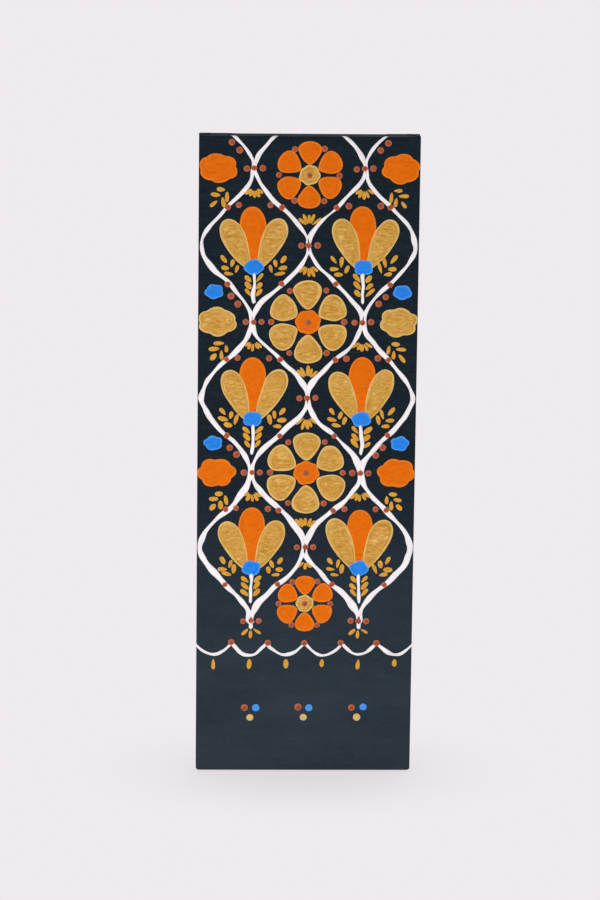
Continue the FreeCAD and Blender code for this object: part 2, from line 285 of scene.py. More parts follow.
def pigment(
    name, colour, pale, dark, streak, streaks=0.5,
    gloss=0.1, roughness=0.5, rimmed=0.6, filling=0.0, stirred=None,
):
    """Thick acrylic: its colour in brush streaks, and a paler rim where it has run up, which on the brick
    drops is partly a painted highlight.

    The streaks follow the outline. Further in, a share of them, the filling, runs level, as a brush fills a
    patch. A second colour can be stirred in unevenly.
    """
    finish = Finish(name, specular_ior_level=gloss)
    rim = finish.attribute("rim")
    stroke = finish.attribute("stroke", "Vector")
    brushed = finish.noise(streak, 4.0, stretch=(9, 9, 1), roughness=0.6, distortion=1.0, where=stroke)
    if filling:
        filled = finish.along(stroke)[2].step(2.5 * MM, 6 * MM) * filling
        level = finish.noise(streak * 2, 3.0, (3.5, 1, 1), 0.55, distortion=2.2)
        brushed = brushed * (1 - filled) + level * filled
    full = paint_colour(*colour)
    if stirred:
        clouds = finish.noise(6 * MM, 4.0, distortion=1.5).step(0.42, 0.6) * 0.7
        full = finish.mix(clouds, full, paint_colour(*stirred))
    body = finish.mix(brushed.step(0.34, 0.52), paint_colour(*dark), full)
    lit = finish.mix(brushed.step(0.5, 0.72) * streaks, body, paint_colour(*pale))
    weave = plain_weave(finish)
    relief = finish.bump(weave, 0.025 * MM, finish.bump(brushed, 0.2 * MM * streaks))
    finish.set(
        base_color=finish.mix(rim * rimmed, lit, paint_colour(*pale)),
        roughness=roughness + brushed * 0.2,
        normal=relief,
    )
    return finish.material


HEART_DEPTH, RING_WIDTH = 31 * MM, 2.3 * MM


def pine(name, lengthwise):
    """Planed pine with its growth rings along a bar. lengthwise is 0 for a bar along X and 2 for one along Z.

    The rings are round a heart that lies behind the bar and runs slightly askew to it.
    """
    finish = Finish(name, specular_ior_level=0.35)
    x, depth, z = finish.along()
    length, across = (x, z) if lengthwise == 0 else (z, x)
    stretch = tuple(26.0 if axis == lengthwise else 1.0 for axis in range(3))
    wobble = finish.noise(11 * MM, detail=2.0, stretch=stretch)
    fibre = finish.noise(0.7 * MM, detail=4.0, stretch=stretch, roughness=0.7)
    off_heart, behind = across * 0.85 + length * 0.012, depth + HEART_DEPTH
    radius = (off_heart * off_heart + behind * behind) ** 0.5 + wobble * 7 * MM
    ring = (radius * (2 * math.pi / RING_WIDTH)).sine() * 0.5 + 0.5
    late = ring ** 3.0 * 0.75
    wood = finish.mix(late, paint_colour(*PINE_EARLY), paint_colour(*PINE_LATE))
    blond = finish.mix(finish.noise(60 * MM, stretch=stretch), wood, paint_colour(*PINE_BLOND))
    fibrous = finish.mix(fibre.step(0.5, 0.8) * 0.35, blond, paint_colour(*PINE_FIBRE))
    off_mitre = abs((HALF_WIDTH - abs(x)) - (HALF_HEIGHT - abs(z - MIDDLE_Z)))
    joint = 1 - off_mitre.step(0.15 * MM, 0.5 * MM)
    finish.set(
        base_color=finish.mix(joint * 0.75, fibrous, paint_colour(*PINE_JOINT)),
        roughness=0.55 + fibre * 0.2,
        normal=finish.bump(fibre * 0.6 + late * 0.4, 0.12 * MM),
    )
    return finish.material


def beech(name, lengthwise):
    """Sawn beech with its short dark flecks along the grain."""
    finish = Finish(name, specular_ior_level=0.35)
    stretch = tuple(9.0 if axis == lengthwise else 1.0 for axis in range(3))
    flecks = finish.noise(0.42 * MM, detail=1.0, stretch=stretch).step(0.58, 0.7)
    fibre = finish.noise(1.1 * MM, detail=5.0, stretch=stretch, roughness=0.7)
    wood = finish.mix(fibre, paint_colour(*BEECH_PALE), paint_colour(*BEECH_DARK))
    finish.set(
        base_color=finish.mix(flecks * 0.6, wood, paint_colour(*BEECH_FLECK)),
        roughness=0.6 + fibre * 0.15,
        normal=finish.bump(fibre - flecks * 0.5, 0.14 * MM),
    )
    return finish.material


def staple_wire():
    """Galvanised wire with the fine lines that drawing leaves along it."""
    finish = Finish("galvanised_wire", metallic=1.0)
    drawn = finish.noise(0.3 * MM, detail=3.0, stretch=(8, 1, 8))
    finish.set(
        base_color=finish.mix(drawn, paint_colour(*ZINC_DULL), paint_colour(*ZINC_BRIGHT)),
        roughness=0.3 + drawn * 0.2,
    )
    return finish.material


# ---- Meshes ----


class Shape:
    """Points and faces that are gathered into one mesh."""

    def __init__(self):
        self.points, self.faces, self.slots, self.rims, self.strokes = [], [], [], [], []

    def add(self, point, rim=0.0, stroke=(0.0, 0.0, 0.0)):
        """Adds a point. Rim is 1 at a stroke's edge. Stroke is how far along the brush's way, and across."""
        self.points.append(point)
        self.rims.append(rim)
        self.strokes.append(stroke)
        return len(self.points) - 1

    def face(self, corners, slot=0):
        """Adds a face, without the corners that fall on one point."""
        kept = [c for i, c in enumerate(corners) if c != corners[i - 1]]
        if len(kept) > 2:
            self.faces.append(kept)
            self.slots.append(slot)

    def band(self, first, second, slot=0, closed=True):
        """Quads between two rows of points, facing the side from which first to second runs leftwards."""
        count = len(first)
        for i in range(count if closed else count - 1):
            j = (i + 1) % count
            self.face([first[i], first[j], second[j], second[i]], slot)

    def build(self, name, *materials):
        """Makes the mesh and its object. Each point's rim and stroke go with it, for the paint to read."""
        mesh = bpy.data.meshes.new(name)
        mesh.from_pydata(self.points, [], self.faces)
        for material in materials:
            mesh.materials.append(material)
        mesh.polygons.foreach_set("material_index", self.slots)
        mesh.polygons.foreach_set("use_smooth", [True] * len(self.faces))
        mesh.attributes.new("rim", "FLOAT", "POINT").data.foreach_set("value", self.rims)
        strokes = mesh.attributes.new("stroke", "FLOAT_VECTOR", "POINT")
        strokes.data.foreach_set("vector", [value for stroke in self.strokes for value in stroke])
        mesh.update()
        piece = bpy.data.objects.new(name, mesh)
        bpy.context.scene.collection.objects.link(piece)
        return piece


# ---- The wrapped cloth ----

# The way along each side and the way out of it, in X and Z: foot, right, top and left.
SIDE_WAYS = [((1, 0), (0, -1)), ((0, 1), (1, 0)), ((-1, 0), (0, 1)), ((0, -1), (-1, 0))]
LEVEL_SIDES = (0, 2)
GRID_STEP = 3.2 * MM
CORNER_STEPS, FRONT_STEPS, SIDE_STEPS, BACK_STEPS, HEM_STEPS = 6, 6, 7, 4, 13

# How far the hem lies off the wood: everywhere, between the staples, and at a corner's fold.
HEM_LIFT, PUCKER_LIFT, FOLD_LIFT = 0.08 * MM, 0.42 * MM, 0.85 * MM
PUCKER_REACH, FOLD_REACH, FOLD_END = 15 * MM, 27 * MM, 7 * MM
STAPLE_HALF, STAPLE_PULL = 0.6 * MM, 9 * MM
FRAY, FRAY_START = 0.35 * MM, 6 * MM

# The triangle of cloth that is folded under at each corner. Its side rises in steps, as a mound's does.
GUSSET_WIDTH, GUSSET_THICKNESS, GUSSET_BOW = (11, 16), 0.5 * MM, 0.35 * MM
GUSSET_SIDE = [(0, -0.3, 0), (0.08 * MM, 0.45, 0), (0.25 * MM, 0.86, 0), (0.7 * MM, 1, 0), (2.5 * MM, 1, 0)]

SAME_PLACE = 1e-7  # points nearer than this are one
OUTSIDE, BACK_HEM, INSIDE = 0, 1, 2


def smooth(value):
    """0 up to 0, 1 from 1 on, and smooth between."""
    value = min(max(value, 0.0), 1.0)
    return value * value * (3 - 2 * value)


def side_contour(inset):
    """Points round the frame in the front view: place in X and Z, outward way, and which side it is on.

    The corners are rounded at no inset, and come to a point where the cloth has turned onto the face.
    """
    half = (HALF_WIDTH - inset, HALF_HEIGHT - inset)
    rounded = max(1 - inset / FRONT_ROUND, 0.0)
    contour = []
    for side, (way, out) in enumerate(SIDE_WAYS):
        ends = [[(way[k] * toward + out[k]) * half[k] for k in (0, 1)] for toward in (-1, 1)]
        rounds = [(TOP_CORNER if end[1] > 0 else FOOT_CORNER) * rounded for end in ends]
        start = [ends[0][k] + way[k] * rounds[0] for k in (0, 1)]
        stop = [ends[1][k] - way[k] * rounds[1] for k in (0, 1)]
        steps = round(2 * (HALF_WIDTH if way[0] else HALF_HEIGHT) / GRID_STEP)
        for i in range(steps + 1):
            place = [start[k] + (stop[k] - start[k]) * i / steps for k in (0, 1)]
            contour.append((place, out, side))
        for i in range(1, CORNER_STEPS):
            turn = math.pi / 2 * i / CORNER_STEPS
            aim = [out[k] * math.cos(turn) + way[k] * math.sin(turn) for k in (0, 1)]
            place = [stop[k] + (aim[k] - out[k]) * rounds[1] for k in (0, 1)]
            contour.append((place, aim, side if 2 * i < CORNER_STEPS else (side + 1) % 4))
    return contour


def wrap_profile():
    """The cloth's way from the face over the side to the hem's end: inset, Y, and its outward way."""
    profile = []
    for i in range(FRONT_STEPS + 1):
        turn = math.pi / 2 * i / FRONT_STEPS
        out, back = math.sin(turn), -math.cos(turn)
        profile.append((FRONT_ROUND * (1 - out), FRONT_Y + FRONT_ROUND * (1 + back), out, back))
    side, hem = BACK_Y - BACK_ROUND - FRONT_Y - FRONT_ROUND, HEM - BACK_ROUND
    profile += [(0.0, FRONT_Y + FRONT_ROUND + side * i / SIDE_STEPS, 1.0, 0.0) for i in range(1, SIDE_STEPS)]
    for i in range(BACK_STEPS + 1):
        turn = math.pi / 2 * i / BACK_STEPS
        out, back = math.cos(turn), math.sin(turn)
        profile.append((BACK_ROUND * (1 - out), BACK_Y - BACK_ROUND * (1 - back), out, back))
    profile += [(BACK_ROUND + hem * i / HEM_STEPS, BACK_Y, 0.0, 1.0) for i in range(1, HEM_STEPS + 1)]
    return profile


def staple_crowns():
    """Each staple's crown as its two ends in X and Z, from the frame's own staples.

    A crown's back is a rectangle, and its four corners are each other's nearest.
    """
    crowns = []
    for name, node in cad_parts.items():
        if "staples" not in name:
            continue
        points = [v.co for v in node.data.vertices]
        back = max(point.y for point in points)
        corners = {(round(point.x, 6), round(point.z, 6)) for point in points if point.y > back - 0.01 * MM}
        while corners:
            first = min(corners)
            crown = sorted(corners, key=lambda c: math.dist(c, first))[:4]
            corners -= set(crown)
            middle = [sum(c[k] for c in crown) / 4 for k in (0, 1)]
            half = [(crown[2][k] - first[k]) / 2 for k in (0, 1)]
            crowns.append(([middle[k] - half[k] for k in (0, 1)], [middle[k] + half[k] for k in (0, 1)]))
    return crowns


def from_crown(place, crown):
    """Distance in X and Z from a place to the nearest point of a staple's crown."""
    start, end = crown
    run = [end[k] - start[k] for k in (0, 1)]
    share = sum((place[k] - start[k]) * run[k] for k in (0, 1)) / max(sum(r * r for r in run), 1e-12)
    share = min(max(share, 0.0), 1.0)
    return math.dist(place, [start[k] + run[k] * share for k in (0, 1)])


def cloth_lift(place, side, back, inset, crowns):
    """How far the cloth stands off the wood at the corners' folds and in the puckers between staples."""
    if back <= 0:
        return 0.0
    from_corner = HALF_WIDTH - abs(place[0])
    fold = FOLD_LIFT * (1 - smooth((from_corner - FOLD_REACH) / FOLD_END)) if side in LEVEL_SIDES else 0.0
    fold *= smooth((from_corner + HEM - 2 * inset) / (2 * MM))
    world = (place[0], place[1] + MIDDLE_Z)
    nearest = min(from_crown(world, crown) for crown in crowns)
    pucker = PUCKER_LIFT * smooth(nearest / PUCKER_REACH) * smooth(inset / HEM)
    return back * (HEM_LIFT + pucker + fold * smooth((nearest - STAPLE_HALF) / STAPLE_PULL))


def add_ring(shape, point, thickness, crowns, ragged):
    """One closed row of the cloth. Corner points that fall on one place are one point."""
    inset, y, out, back = point
    row = []
    for index, (place, aim, side) in enumerate(side_contour(inset)):
        off = thickness + (cloth_lift(place, side, back, inset, crowns) if thickness else 0.0)
        from_corner = max(HALF_WIDTH - inset - abs(place[0]), HALF_HEIGHT - inset - abs(place[1]))
        fray = ragged[index] * smooth(from_corner / FRAY_START) if ragged else 0.0
        spot = (
            place[0] + aim[0] * (out * off - fray),
            y + back * off,
            place[1] + aim[1] * (out * off - fray) + MIDDLE_Z,
        )
        shared = [end for end in row[:1] + row[-1:] if math.dist(shape.points[end], spot) < SAME_PLACE]
        row.append(shared[0] if shared else shape.add(spot))
    return row


def add_face_grid(shape, ring, thickness, slot, towards_front):
    """The flat field inside the first ring, as a grid whose border is that ring's own points."""
    columns, rows = (round(2 * half / GRID_STEP) for half in (HALF_WIDTH, HALF_HEIGHT))
    starts, at = [], 0
    for steps in (columns, rows, columns, rows):
        starts.append(at)
        at += steps + CORNER_STEPS
    grid = {}
    for i in range(columns + 1):
        grid[i, 0], grid[i, rows] = ring[starts[0] + i], ring[starts[2] + columns - i]
    for j in range(rows + 1):
        grid[columns, j], grid[0, j] = ring[starts[1] + j], ring[starts[3] + rows - j]
    for i in range(1, columns):
        for j in range(1, rows):
            x, z = shape.points[grid[i, 0]][0], shape.points[grid[columns, j]][2]
            grid[i, j] = shape.add((x, FRONT_Y - thickness, z))
    for i in range(columns):
        for j in range(rows):
            corners = [grid[i, j], grid[i + 1, j], grid[i + 1, j + 1], grid[i, j + 1]]
            shape.face(corners if towards_front else corners[::-1], slot)


def bend_over(value, flat, radius, height):
    """Where a place lands that runs out over a rounded edge: how far out, and how far it has turned."""
    turn = max(abs(value) - flat, 0.0) / radius
    return math.copysign(min(abs(value), flat) + (radius + height) * math.sin(turn), value), math.cos(turn)


def add_heap(shape, outline, height, steps, surface, start=0.0):
    """A closed low mound on a surface, brushed round its outline.

    A step of its side is an inset, a share of the height, and how much it counts as rim.
    """
    count = len(outline)
    middle = [sum(p[k] for p in outline) / count for k in (0, 1)]
    size = sum(math.dist(place, middle) for place in outline) / count
    rows = []
    for inset, share, rim in steps:
        row = []
        for place in outline:
            reach = max(math.dist(place, middle), 0.1 * MM)
            left = math.exp(-inset / reach)
            spot = [middle[k] + (place[k] - middle[k]) * left for k in (0, 1)]
            run = [start + (place[k] - middle[k]) / reach * size for k in (0, 1)]
            row.append(shape.add(surface(*spot, height * share), rim, (*run, reach * (1 - left))))
        rows.append(row)
    for outer, inner in zip(rows, rows[1:]):
        shape.band(outer, inner)
    top = shape.add(surface(*middle, height * steps[-1][1]), steps[-1][2], (start, start, size))
    bottom = shape.add(surface(*middle, height * steps[0][1]), 0.0)
    for i in range(count):
        j = (i + 1) % count
        shape.face([rows[-1][i], rows[-1][j], top])
        shape.face([rows[0][j], rows[0][i], bottom])


def add_gusset(shape, top, right, width, rng):
    """The folded triangle of cloth on the upper or lower face at one corner, its long side bowed."""
    front, back, edge = FRONT_Y + 1.6 * MM, BACK_Y - 0.6 * MM, HALF_WIDTH + 0.3 * MM
    corner = TOP_CORNER if top else FOOT_CORNER
    corners = [(edge, front), (edge, back), (edge - width, back)]
    outline, steps = [], 12
    for (x0, y0), (x1, y1) in zip(corners, corners[1:] + corners[:1]):
        for i in range(steps):
            share = i / steps
            bow = GUSSET_BOW * math.sin(math.pi * share) * rng.uniform(0.6, 1.2) if y1 < y0 else 0.0
            outline.append((x0 + (x1 - x0) * share + bow, y0 + (y1 - y0) * share))
    if not right:
        outline = [(-x, y) for x, y in reversed(outline)]

    def on_end(u, v, height):
        out, level = bend_over(u, HALF_WIDTH - corner, corner + CLOTH, height)
        up = HALF_HEIGHT - corner + (corner + CLOTH + height) * level
        return (out, v, MIDDLE_Z + up) if top else (-out, v, MIDDLE_Z - up)

    add_heap(shape, outline, GUSSET_THICKNESS, GUSSET_SIDE, on_end)


def make_cloth():
    """The whole cloth: its face, sides, rounded edges and hem, with the inside a cloth's thickness below."""
    rng = random.Random(SEED)
    shape, crowns, profile = Shape(), staple_crowns(), wrap_profile()
    count = len(side_contour(0.0))
    ragged = [rng.uniform(-FRAY, FRAY) for _ in range(count)]
    last = len(profile) - 1
    outer, inner = (
        [add_ring(shape, p, thickness, crowns, ragged if i == last else None) for i, p in enumerate(profile)]
        for thickness in (CLOTH, 0.0)
    )
    hem_starts = next(i for i, (inset, _, _, back) in enumerate(profile) if back > 0.5 and inset > 0)
    for i in range(last):
        shape.band(outer[i + 1], outer[i], BACK_HEM if i >= hem_starts else OUTSIDE)
        shape.band(inner[i], inner[i + 1], INSIDE)
    shape.band(inner[last], outer[last], INSIDE)
    add_face_grid(shape, outer[0], CLOTH, OUTSIDE, True)
    add_face_grid(shape, inner[0], 0.0, INSIDE, False)
    for top in (True, False):
        for right in (True, False):
            add_gusset(shape, top, right, rng.uniform(*GUSSET_WIDTH) * MM, rng)
    cloth = shape.build("wrapped_cloth", painted_cloth(), primed_hem(), raw_cotton())
    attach(cloth, "frame")
    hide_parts("canvas")
    return cloth


# ---- Paint on the cloth. Places are in millimetres: u across from the middle, v up from the foot. ----

# The paint is carried a little way over the rounded edges and stops there.
OVER_EDGE = 3.0
# A cut end turns to the way of its edge over this length. A line's waves go on by a radian in so many steps.
CUT_REACH, WAVE_STEPS = 6.0, 22
# Each stroke has its own place in the pattern of the brush's streaks, so that no two look alike.
STREAK_SHIFT = 9
EDGE_U = (HALF_WIDTH - FRONT_ROUND) / MM + OVER_EDGE
LOW_V = (MIDDLE_Z - HALF_HEIGHT + FRONT_ROUND) / MM - OVER_EDGE
HIGH_V = (MIDDLE_Z + HALF_HEIGHT - FRONT_ROUND) / MM + OVER_EDGE

# Steps of a mound's side: inset, share of its height, share of rim. Its foot is sunk a little into the cloth.
SUNK = -0.06
FLAT_PATCH = [
    (0, SUNK, 1), (0.12, 0.3, 1), (0.35, 0.85, 1), (0.8, 1.1, 0.9), (1.5, 1, 0.35), (3, 0.95, 0), (8, 1, 0),
]
PLUMP_DAB = [(0, SUNK, 1), (0.1, 0.35, 0.9), (0.32, 0.8, 0.6), (0.75, 1.0, 0.2), (1.5, 0.95, 0), (3, 0.9, 0)]
ROUND_DROP = [(0, SUNK, 1), (0.12, 0.3, 1), (0.45, 0.6, 0.9), (1.1, 0.82, 0.6), (2.3, 0.95, 0.1), (4.5, 1, 0)]
FLAT_DROP = [(0, SUNK, 1), (0.12, 0.3, 1), (0.45, 0.6, 1), (1.1, 0.82, 0.9), (2.3, 0.95, 0.8), (4.5, 1, 0.8)]

# A line's section, from its left edge over the top to the right one and back below the cloth's face: shares
# of its half width and of its height.
LINE_SIDE = [(1, 0.0), (0.95, 0.45), (0.78, 0.85), (0.42, 1.0)]
LINE_SECTION = LINE_SIDE + [(0, 1.0)] + [(-side, share) for side, share in reversed(LINE_SIDE)]
LINE_SECTION += [(-1, 2 * SUNK), (1, 2 * SUNK)]


def on_cloth(u, v, height):
    """A place in metres on the painted face, which turns over the rounded edges."""
    radius = FRONT_ROUND + CLOTH
    across, level_u = bend_over(u, HALF_WIDTH - FRONT_ROUND, radius, height)
    up, level_v = bend_over(v - MIDDLE_Z, HALF_HEIGHT - FRONT_ROUND, radius, height)
    return (across, FACE_Y + radius - (radius + height) * level_u * level_v, up + MIDDLE_Z)


def held_on(u, v):
    """A place in metres from one in millimetres, held back to where the paint stops."""
    return min(max(u, -EDGE_U), EDGE_U) * MM, min(max(v, LOW_V), HIGH_V) * MM


class Paint:
    """All the strokes of one colour, as one closed relief on the cloth, its height in millimetres."""

    def __init__(self, name, material, relief, seed):
        self.name, self.material, self.relief = name, material, relief
        self.shape, self.rng = Shape(), random.Random(SEED * 100 + seed)

    def waves(self, amount, count=5):
        """A hand's unevenness along a line or round an outline, as a function of the angle."""
        parts = [
            (k, self.rng.uniform(0, 2 * math.pi), self.rng.uniform(0.3, 1) * amount / k**0.5)
            for k in range(2, 2 + count)
        ]
        return lambda turn: 1 + sum(size * math.sin(k * turn + start) for k, start, size in parts)

    def heap(self, outline, steps):
        metres = [(inset * MM, share, rim) for inset, share, rim in steps]
        start = self.rng.uniform(0, STREAK_SHIFT)
        add_heap(self.shape, [held_on(u, v) for u, v in outline], self.relief * MM, metres, on_cloth, start)

    def patch(self, u, v, width, height, lobes=6, depth=0.13):
        """A flat lobed patch, such as a loaded brush leaves when it is pressed and turned."""
        wave, start = self.waves(0.035), self.rng.uniform(0, math.pi)
        count = round((width + height) * 1.9)
        outline = []
        for i in range(count):
            turn = 2 * math.pi * i / count
            reach = (1 + depth * (abs(math.sin(lobes * turn / 2 + start)) - 0.72)) * wave(turn)
            outline.append((u + width / 2 * reach * math.cos(turn), v + height / 2 * reach * math.sin(turn)))
        self.heap(outline, FLAT_PATCH)

    def petal(self, u, v, aim, length, width, steps=FLAT_PATCH, waist=0.45):
        """A petal or leaf from its foot at u, v, pointing along aim, its widest part beyond the middle."""
        wave = self.waves(0.035)
        aim, length = aim + self.rng.uniform(-0.04, 0.04), length * self.rng.uniform(0.95, 1.04)
        count = max(round((length + width) * 1.7), 22)
        forward, left = (math.cos(aim), math.sin(aim)), (-math.sin(aim), math.cos(aim))
        outline = []
        for i in range(count):
            turn = 2 * math.pi * i / count
            share = (1 - math.cos(turn)) / 2
            run = length * share
            side = -width / 2 * math.sin(turn) * (waist + (1 - waist) * share) * 1.22 * wave(turn)
            outline.append((u + forward[0] * run + left[0] * side, v + forward[1] * run + left[1] * side))
        self.heap(outline, steps)

    def dab(self, u, v, aim, length=10.0, width=4.0):
        """A small leaf left by one touch of the brush."""
        length *= self.rng.uniform(0.82, 1.18)
        aim += self.rng.uniform(-0.14, 0.14)
        waist = self.rng.uniform(0.4, 0.95)
        self.petal(u, v, aim, length, width * self.rng.uniform(0.85, 1.12), PLUMP_DAB, waist)

    def drop(self, u, v, radius=3.1, steps=ROUND_DROP):
        """A round drop left by a dotting tool."""
        radius *= self.rng.uniform(0.94, 1.07)
        u, v = u + self.rng.uniform(-0.5, 0.5), v + self.rng.uniform(-0.5, 0.5)
        wave = self.waves(0.015, 3)
        turns = [2 * math.pi * i / 32 for i in range(32)]
        outline = [(u + radius * wave(t) * math.cos(t), v + radius * wave(t) * math.sin(t)) for t in turns]
        self.heap(outline, steps)

    def line(self, path, width, start_cut=None, end_cut=None):
        """A raised line along a path. Width is a number, or a function of the share of the path that is run.

        An end tapers, or is cut off along a way across the path, such as that of an edge it runs over.
        """
        edge, drift = (self.waves(0.36, 14), self.waves(0.36, 14)), self.waves(0.75, 7)
        count, step, begin = len(path), math.dist(path[0], path[1]), self.rng.uniform(0, STREAK_SHIFT)
        rows = []
        for i, (u, v) in enumerate(path):
            before, after = path[max(i - 1, 0)], path[min(i + 1, count - 1)]
            run = math.dist(before, after)
            left = (-(after[1] - before[1]) / run, (after[0] - before[0]) / run)
            share = i / (count - 1)
            half = (width(share) if callable(width) else width) / 2
            for cut, gone in ((start_cut, i), (end_cut, count - 1 - i)):
                along = gone * step
                if cut is None and along < half:
                    half *= math.sqrt(max(1 - (1 - along / half) ** 2, 0.03))
                elif cut and along < CUT_REACH:
                    part = smooth(along / CUT_REACH)
                    facing = max(left[0] * cut[0] + left[1] * cut[1], 0.3)
                    half *= part + (1 - part) / facing
                    left = [left[k] * part + cut[k] * (1 - part) for k in (0, 1)]
            turn = share * count / WAVE_STEPS
            sway = drift(turn) - 1
            row = []
            for side, height in LINE_SECTION:
                shift = half * side * edge[side > 0](turn) + sway
                spot = on_cloth(*held_on(u + left[0] * shift, v + left[1] * shift), self.relief * height * MM)
                stroke = (begin + share * count * step * MM, begin, half * side * MM)
                row.append(self.shape.add(spot, 1 - min(abs(height), 1.0), stroke))
            rows.append(row)
        for first, second in zip(rows, rows[1:]):
            self.shape.band(first, second)
        self.shape.face(rows[0][::-1])
        self.shape.face(rows[-1])

    def finish(self):
        coat = self.shape.build(self.name, self.material)
        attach(coat, "frame")
        return coat


# ---- The ornament: vines that cross into pointed cells, with rosettes and tulips in the cells ----

# Rows are half a cell apart. The vines meet there, by turns in the middle and in the two columns of tulips.
# Each vine swings about a middle of its own.
CELL_FOOT, HALF_CELL, ROWS, COLUMN = 146.0, 71.0, 7, 50
INNER_VINE, OUTER_VINE = (25.0, 25.0), (74.0, -23.0)
# Height and size of the two orange rosettes, above and below the ochre ones on rows 2 and 4.
FOOT_ROSETTE, TOP_ROSETTE, ROSETTE_SIZE = (163, 56), (566, 64), 78
VINE_STEPS, VINE_FOOT_WIDTH, VINE_THINNING = 300, 5.0, 1.8
LEAF_STEP = 6.6
SMALL_DROP, BERRY, BETWEEN_DROP, FOOT_DROP = 2.95, 2.9, 2.85, 3.4
SWAGS, SWAG_STEPS, SWAG_HEIGHT, SWAG_DEPTH = 6, 26, 124, 11
UP = math.pi / 2


def row_height(row):
    """The height of a row, counted from the lowest. Halves lie midway."""
    return CELL_FOOT + HALF_CELL * row


def vine_place(vine, v):
    """How far from the middle line a vine is at a height."""
    middle, swing = vine
    return middle + swing * math.cos(math.pi * (v - CELL_FOOT) / HALF_CELL)


def paint_vines(white, brick):
    """Two vines on each side of the middle that meet and part, with a berry on every reach of them."""
    foot = CELL_FOOT - 3
    for mirror in (1, -1):
        for vine in (INNER_VINE, OUTER_VINE):
            rise = [foot + (HIGH_V - foot) * i / VINE_STEPS for i in range(VINE_STEPS + 1)]
            path = [(mirror * vine_place(vine, v), v) for v in rise]
            white.line(path, lambda share: VINE_FOOT_WIDTH - VINE_THINNING * share, end_cut=(-1, 0))
            for row in range(ROWS - 1):
                v = row_height(row + 0.5)
                brick.drop(mirror * vine_place(vine, v), v, BERRY)


def add_fan(gold, u, v, aim, count, spread, start=3.5, length=9.0):
    """Leaves that open from one point."""
    for k in range(count):
        way = aim + spread * (k / (count - 1) - 0.5)
        gold.dab(u + start * math.cos(way), v + start * math.sin(way), way, length, 3.2)


def add_sprig(gold, u, v, aim):
    """Leaves in two pairs along a line, with one at its tip."""
    feet = [(u + math.cos(aim) * LEAF_STEP * k, v + math.sin(aim) * LEAF_STEP * k) for k in range(3)]
    for foot in feet[:-1]:
        for side in (1, -1):
            way = aim + side * 0.85
            gold.dab(foot[0] + 1.6 * math.cos(way), foot[1] + 1.6 * math.sin(way), way, 8.6, 3.9)
    gold.dab(*feet[-1], aim, 9, 3.9)


def paint_rosette(petals, heart, brick, v, size):
    """Six petals round a heart, with a berry between each two."""
    for k in range(6):
        aim = UP + math.pi / 3 * k
        foot = 0.15 * size
        petals.petal(foot * math.cos(aim), v + foot * math.sin(aim), aim, 0.34 * size, 0.35 * size)
        between = aim + math.pi / 6
        out = 0.43 * size
        brick.drop(out * math.cos(between), v + out * math.sin(between), BETWEEN_DROP)
    heart.patch(0, v, 0.3 * size, 0.29 * size, lobes=7, depth=0.08)
    brick.drop(0, v)


def paint_tulip(colours, u, v):
    """A tulip of three petals in a blue cup, its stem between leaves, with a sprig on each side."""
    ochre, orange, blue, white, gold, brick = colours
    white.line([(u, v - 54 + 1.5 * i) for i in range(20)], 3.0)
    for side in (1, -1):
        ochre.petal(u + side * 5, v - 21, UP - side * 0.42, 51, 23)
        for k in range(3):
            gold.dab(u + side * 2.4, v - 47 + LEAF_STEP * k, UP - side * 0.75, 9)
        add_sprig(gold, u + side * 17, v - 27, UP - side * 0.62)
        brick.drop(u + side * 14.5, v + 37, SMALL_DROP)
    orange.petal(u, v - 17, UP, 55, 26)
    blue.patch(u, v - 20, 18, 15, lobes=4)
    add_fan(gold, u, v + 53.5, -UP, 5, 2.0, 3.0, 7.5)


def paint_edge_patch(patch, blue, gold, brick, mirror, v):
    """A lobed patch at the edge of the face, between a blue one and a sprig."""
    patch.patch(mirror * 83, v, 35, 27)
    if v + 34 < HIGH_V:
        blue.patch(mirror * 86, v + 28, 17, 14, lobes=5)
    add_sprig(gold, mirror * 75, v - 20, -UP + mirror * 0.72)
    brick.drop(mirror * 64, v + 17)
    brick.drop(mirror * 70.5, v + 24)


def paint_nodes(white, gold, brick):
    """The three drops where two vines meet, and the end of each pair of vines below the lowest ones."""
    for row in range(ROWS):
        for u in (COLUMN, -COLUMN) if row % 2 == 0 else (0,):
            for across in (-7.5, 0, 7.5):
                brick.drop(u + across, row_height(row), SMALL_DROP)
    for u in (COLUMN, -COLUMN):
        white.line([(u, CELL_FOOT + 4 - 1.5 * i) for i in range(9)], 4.0)
        add_fan(gold, u, CELL_FOOT - 6, -UP, 3, 1.9, 3.0, 9)


def paint_foot(white, ochre, gold, brick, blue):
    """A scalloped line that closes the pattern, and three groups of drops in the quiet ground below."""
    width = 2 * EDGE_U / SWAGS
    shares = [i / SWAG_STEPS for i in range(SWAG_STEPS + 1)]
    for k in range(SWAGS):
        left = -EDGE_U + width * k
        path = [(left + width * x, SWAG_HEIGHT - SWAG_DEPTH * math.sin(math.pi * x)) for x in shares]
        white.line(path, 2.8, None if k else (0, 1), (0, 1) if k == SWAGS - 1 else None)
        gold.dab(left + width / 2, SWAG_HEIGHT - 15, -UP, 9, 4)
        if k:
            brick.drop(left, SWAG_HEIGHT + 1)
    for u in (-COLUMN, 0, COLUMN):
        brick.drop(u - 5.5, 62, FOOT_DROP)
        blue.drop(u + 5.5, 62, FOOT_DROP, FLAT_DROP)
        ochre.drop(u, 52.5, FOOT_DROP, FLAT_DROP)


